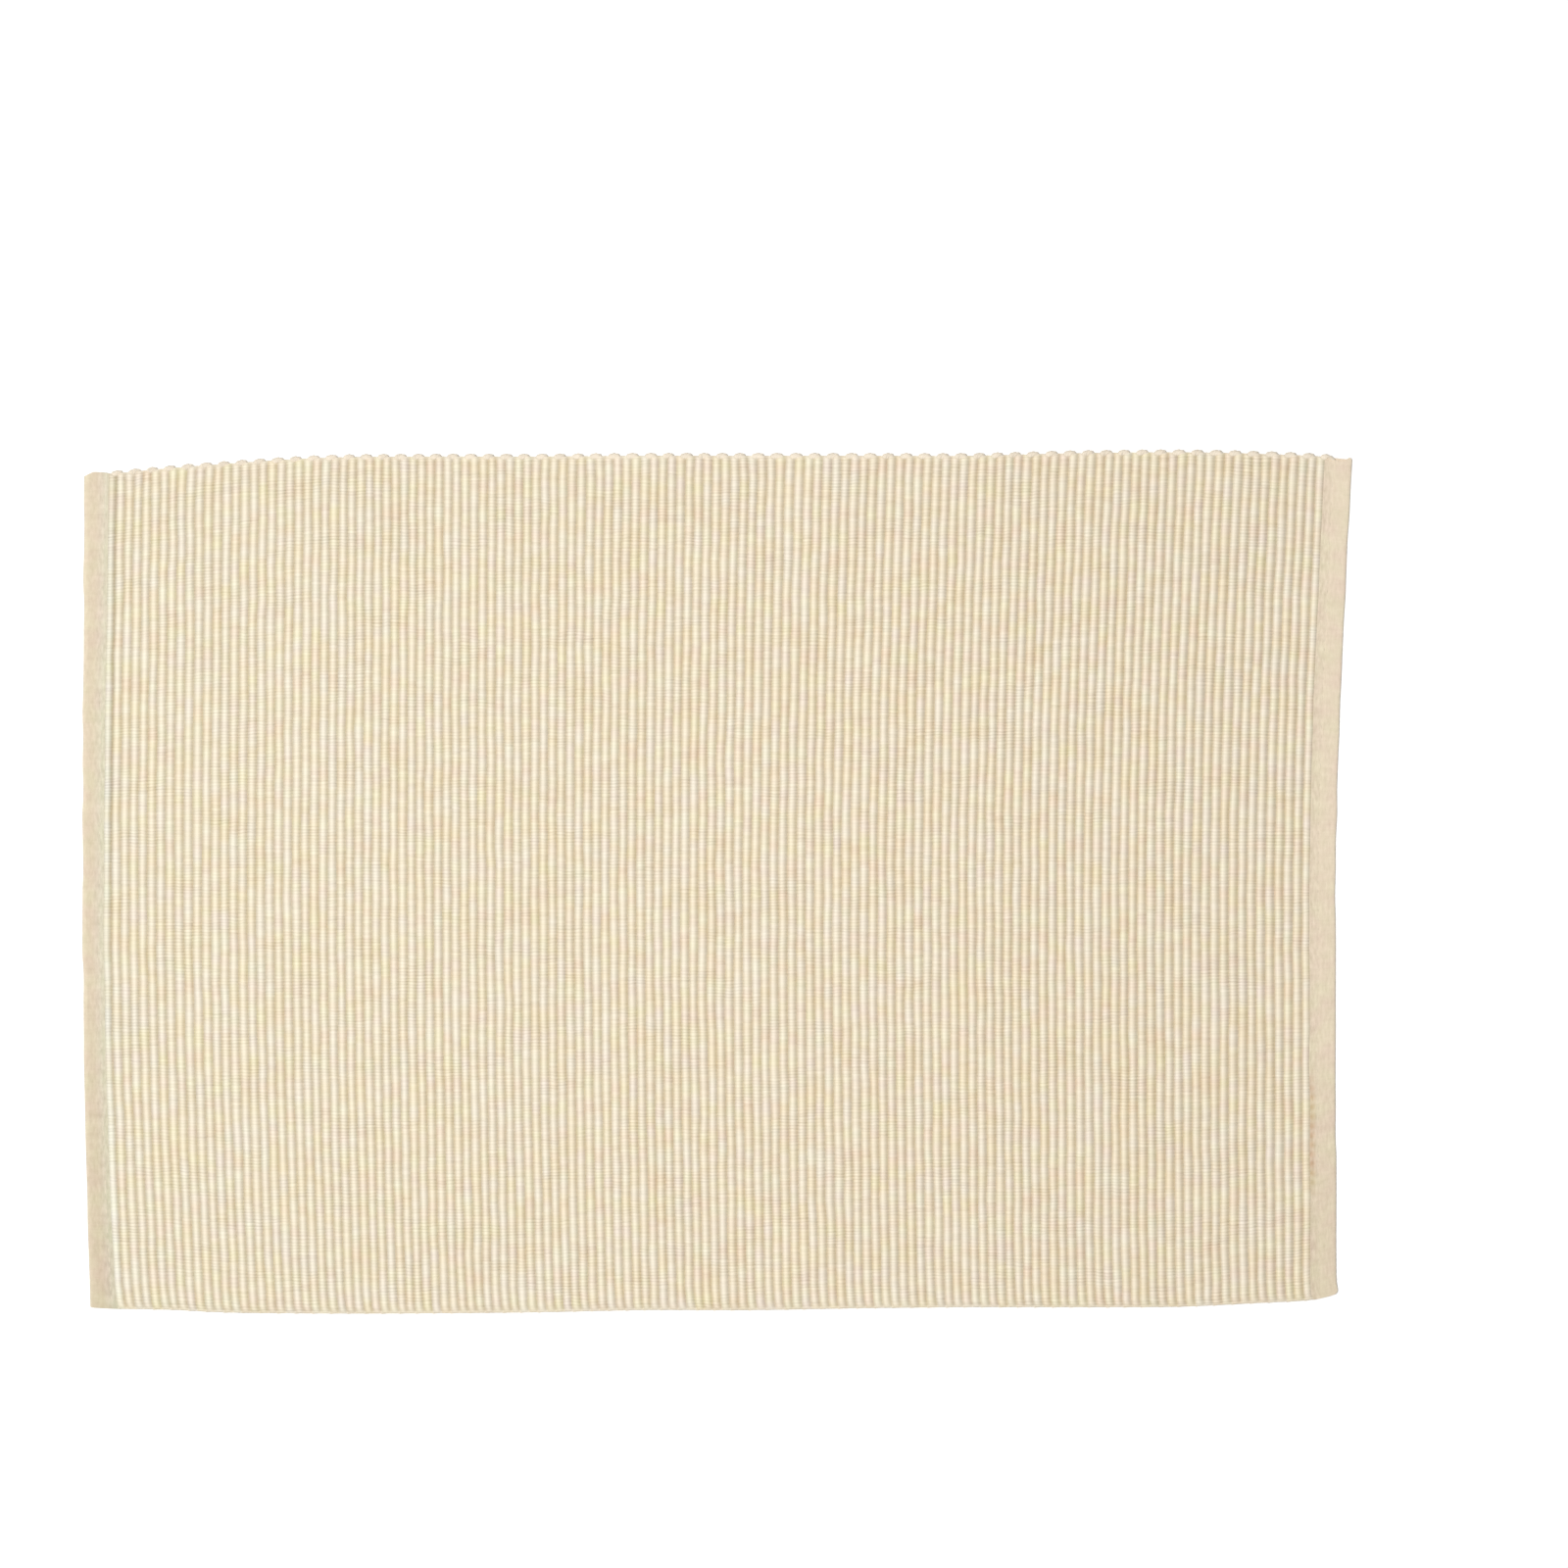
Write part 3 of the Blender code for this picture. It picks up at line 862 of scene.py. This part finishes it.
def draw_out_last(points, sizes):
    """Draw the half loop that comes after the last rib out over the hem, where its leg ends."""
    beyond = np.maximum(points[:, 0] - sizes.rib_count / 2 * sizes.rib_pitch, 0)
    leg = np.where(beyond > 0, np.minimum(points[:, 1], 0), 0)
    points[:, 0] += (LAST_STRETCH - 1) * beyond
    points[:, 1] -= (1 - LAST_LEG) * leg + LAST_SLOPE * beyond


STITCH_CUTS = np.linspace(-0.42, 0.42, 6)  # where a stitch can bend, in shares of its length
STITCH_SINK = 0.45 * MM  # how deep its two ends dive into the cloth


def stitch_hem(name, side, seam, sizes):
    """Model the row of lockstitches that holds a hem down, on both of its faces."""
    bpy.ops.object.select_all(action="DESELECT")
    bpy.ops.mesh.primitive_cylinder_add(
        vertices=6, radius=sizes.thread / 2, depth=sizes.stitch, rotation=(math.pi / 2, 0, 0)
    )
    stitches = start(name)
    bpy.ops.object.transform_apply(location=True, rotation=True, scale=True)
    bpy.ops.object.mode_set(mode="EDIT")
    for cut in STITCH_CUTS * sizes.stitch:
        bpy.ops.mesh.select_all(action="SELECT")
        bpy.ops.mesh.bisect(plane_co=(0, cut, 0), plane_no=(0, 1, 0))
    bpy.ops.object.mode_set(mode="OBJECT")
    points = points_of(stitches)
    share = 2 * points[:, 1] / sizes.stitch
    points[:, 2] += sizes.hem_thickness / 2 - sizes.thread / 2 - STITCH_SINK * share**4
    move_points(stitches, points)
    apply_modifier(stitches, "MIRROR", use_axis=(False, False, True), use_mirror_merge=False)
    count = int(2 * sizes.half_width / sizes.stitch_pitch) - 1
    repeat(stitches, count, (0, sizes.stitch_pitch, 0))
    points = points_of(stitches)
    points[:, 0] += side * (sizes.rib_count / 2 * sizes.rib_pitch + seam)
    points[:, 1] -= (count - 1) / 2 * sizes.stitch_pitch
    points[:, 2] += sizes.hem_thickness / 2
    move_points(stitches, points)
    return stitches


class PLACEMAT_OT_weave(bpy.types.Operator):
    """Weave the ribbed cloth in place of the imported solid"""

    bl_idname = "placemat.weave"
    bl_label = "Weave ribbed cloth"

    def execute(self, context):
        sizes, colours = context.scene.placemat_sizes, context.scene.placemat_colours
        cloth = weave_ribs(sizes)
        finish_piece(cloth, rib_weave_cotton(sizes, colours), sizes, sharp=50)
        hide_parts(MAT_NODE)
        return {"FINISHED"}


class PLACEMAT_OT_hem(bpy.types.Operator):
    """Fold the plain cloth at both ends into hems"""

    bl_idname = "placemat.hem"
    bl_label = "Fold hems"

    def execute(self, context):
        sizes, colours = context.scene.placemat_sizes, context.scene.placemat_colours
        material = plain_weave_cotton(sizes, colours)
        left = fold_hem("left_hem", sizes.left_hem, -1, LEFT_CLIMB, LEFT_SEAM, sizes)
        right = fold_hem("right_hem", sizes.right_hem, 1, RIGHT_CLIMB, RIGHT_SEAM, sizes)
        finish_piece(left, material, sizes)
        finish_piece(right, material, sizes)
        return {"FINISHED"}


class PLACEMAT_OT_turn(bpy.types.Operator):
    """Turn the weft cord round at both long edges"""

    bl_idname = "placemat.turn"
    bl_label = "Turn weft loops"

    def execute(self, context):
        sizes, colours = context.scene.placemat_sizes, context.scene.placemat_colours
        material = plain_yarn("bare_weft_cord", colours.weft)
        ribs = sizes.rib_count
        top = turn_loops(
            "top_loops", 1, 1, (ribs + 1) // 2, sizes.top_loop, sizes.top_weft, TOP_SLANT, sizes
        )
        bottom = turn_loops(
            "bottom_loops", -1, 2, ribs // 2, sizes.bottom_loop, sizes.bottom_weft, 0.0, sizes
        )
        finish_piece(top, material, sizes)
        finish_piece(bottom, material, sizes)
        return {"FINISHED"}


class PLACEMAT_OT_stitch(bpy.types.Operator):
    """Sew both hems down"""

    bl_idname = "placemat.stitch"
    bl_label = "Stitch hems"

    def execute(self, context):
        sizes, colours = context.scene.placemat_sizes, context.scene.placemat_colours
        material = plain_yarn("sewing_thread", colours.thread, gloss=0.4)
        finish_piece(stitch_hem("left_stitches", -1, LEFT_SEAM, sizes), material, sizes)
        finish_piece(stitch_hem("right_stitches", 1, RIGHT_SEAM, sizes), material, sizes)
        return {"FINISHED"}


# The studio

FIELD_OF_VIEW = 598.4 * MM  # how much of the surface the picture takes in
CAMERA_HEIGHT = 1.6
CAMERA_AIM = (25.4 * MM, 37.2 * MM)  # from the middle of the mat
FLOOR_SIZE = 14.0
FLOOR_DROP = 0.05 * MM  # below the mat, so that the two faces never coincide
KEY_PLACE = (-0.34, 0.06, 1.8)  # a soft box, high above the mat's left end
KEY_SIZE = 0.5
KEY_POWER = 30.5  # watts
SKY_STRENGTH = 0.3


class PLACEMAT_OT_stage(bpy.types.Operator):
    """Set the floor, the light and the camera"""

    bl_idname = "placemat.stage"
    bl_label = "Set stage"

    def execute(self, context):
        scene, colours = context.scene, context.scene.placemat_colours
        bpy.ops.object.select_all(action="DESELECT")
        bpy.ops.mesh.primitive_plane_add(size=FLOOR_SIZE, location=(0, 0, -FLOOR_DROP))
        floor = start("floor")
        bpy.ops.object.transform_apply(location=True, rotation=True, scale=True)
        paper = bpy.data.materials.new("matt_paper")
        paper.use_nodes = True
        shader = paper.node_tree.nodes["Principled BSDF"]
        shader.inputs["Base Color"].default_value = colours.floor
        shader.inputs["Roughness"].default_value = 1.0
        shader.inputs["Specular IOR Level"].default_value = 0.0
        floor.data.materials.append(paper)

        bpy.ops.object.light_add(type="AREA", location=KEY_PLACE)
        key = start("soft_box")
        key.data.shape = "DISK"
        key.data.size = KEY_SIZE
        key.data.energy = KEY_POWER
        key.rotation_euler = key.location.to_track_quat("Z", "Y").to_euler()

        world = bpy.data.worlds.new("soft_room")
        world.use_nodes = True
        sky = world.node_tree.nodes["Background"]
        sky.inputs["Strength"].default_value = SKY_STRENGTH
        sky.inputs["Color"].default_value = (1, 1, 1, 1)
        scene.world = world

        bpy.ops.object.camera_add(location=(*CAMERA_AIM, CAMERA_HEIGHT), rotation=(0, 0, 0))
        camera = start("camera")
        above_crests = CAMERA_HEIGHT - scene.placemat_sizes.thickness
        camera.data.lens = camera.data.sensor_width * above_crests / FIELD_OF_VIEW
        scene.camera = camera
        scene.view_settings.view_transform = "Standard"
        return {"FINISHED"}


class PLACEMAT_PT_panel(bpy.types.Panel):
    """The steps in order, and the sizes and colours they read"""

    bl_label = "Ribbed placemat"
    bl_space_type = "VIEW_3D"
    bl_region_type = "UI"
    bl_category = "Placemat"

    def draw(self, context):
        for step in STEPS:
            self.layout.operator(step.bl_idname)
        for group in (context.scene.placemat_sizes, context.scene.placemat_colours):
            box = self.layout.box()
            for name in group.__annotations__:
                box.prop(group, name)


STEPS = (
    PLACEMAT_OT_weave,
    PLACEMAT_OT_hem,
    PLACEMAT_OT_turn,
    PLACEMAT_OT_stitch,
    PLACEMAT_OT_stage,
)
CLASSES = (PlacematSizes, PlacematColours, *STEPS, PLACEMAT_PT_panel)


def register():
    for item in CLASSES:
        bpy.utils.register_class(item)
    bpy.types.Scene.placemat_sizes = PointerProperty(type=PlacematSizes)
    bpy.types.Scene.placemat_colours = PointerProperty(type=PlacematColours)


def unregister():
    del bpy.types.Scene.placemat_sizes
    del bpy.types.Scene.placemat_colours
    for item in reversed(CLASSES):
        bpy.utils.unregister_class(item)


def declare_sheet():
    """List the pieces besides the ribbed cloth, and do nothing with the list."""
    others = ("left_hem", "right_hem", "top_loops", "bottom_loops")
    others += ("left_stitches", "right_stitches")


def main():
    """Make every piece in order."""
    register()
    bpy.ops.placemat.weave()
    bpy.ops.placemat.hem()
    bpy.ops.placemat.turn()
    bpy.ops.placemat.stitch()
    bpy.ops.placemat.stage()
    declare_sheet()


if __name__ == "__main__":
    main()
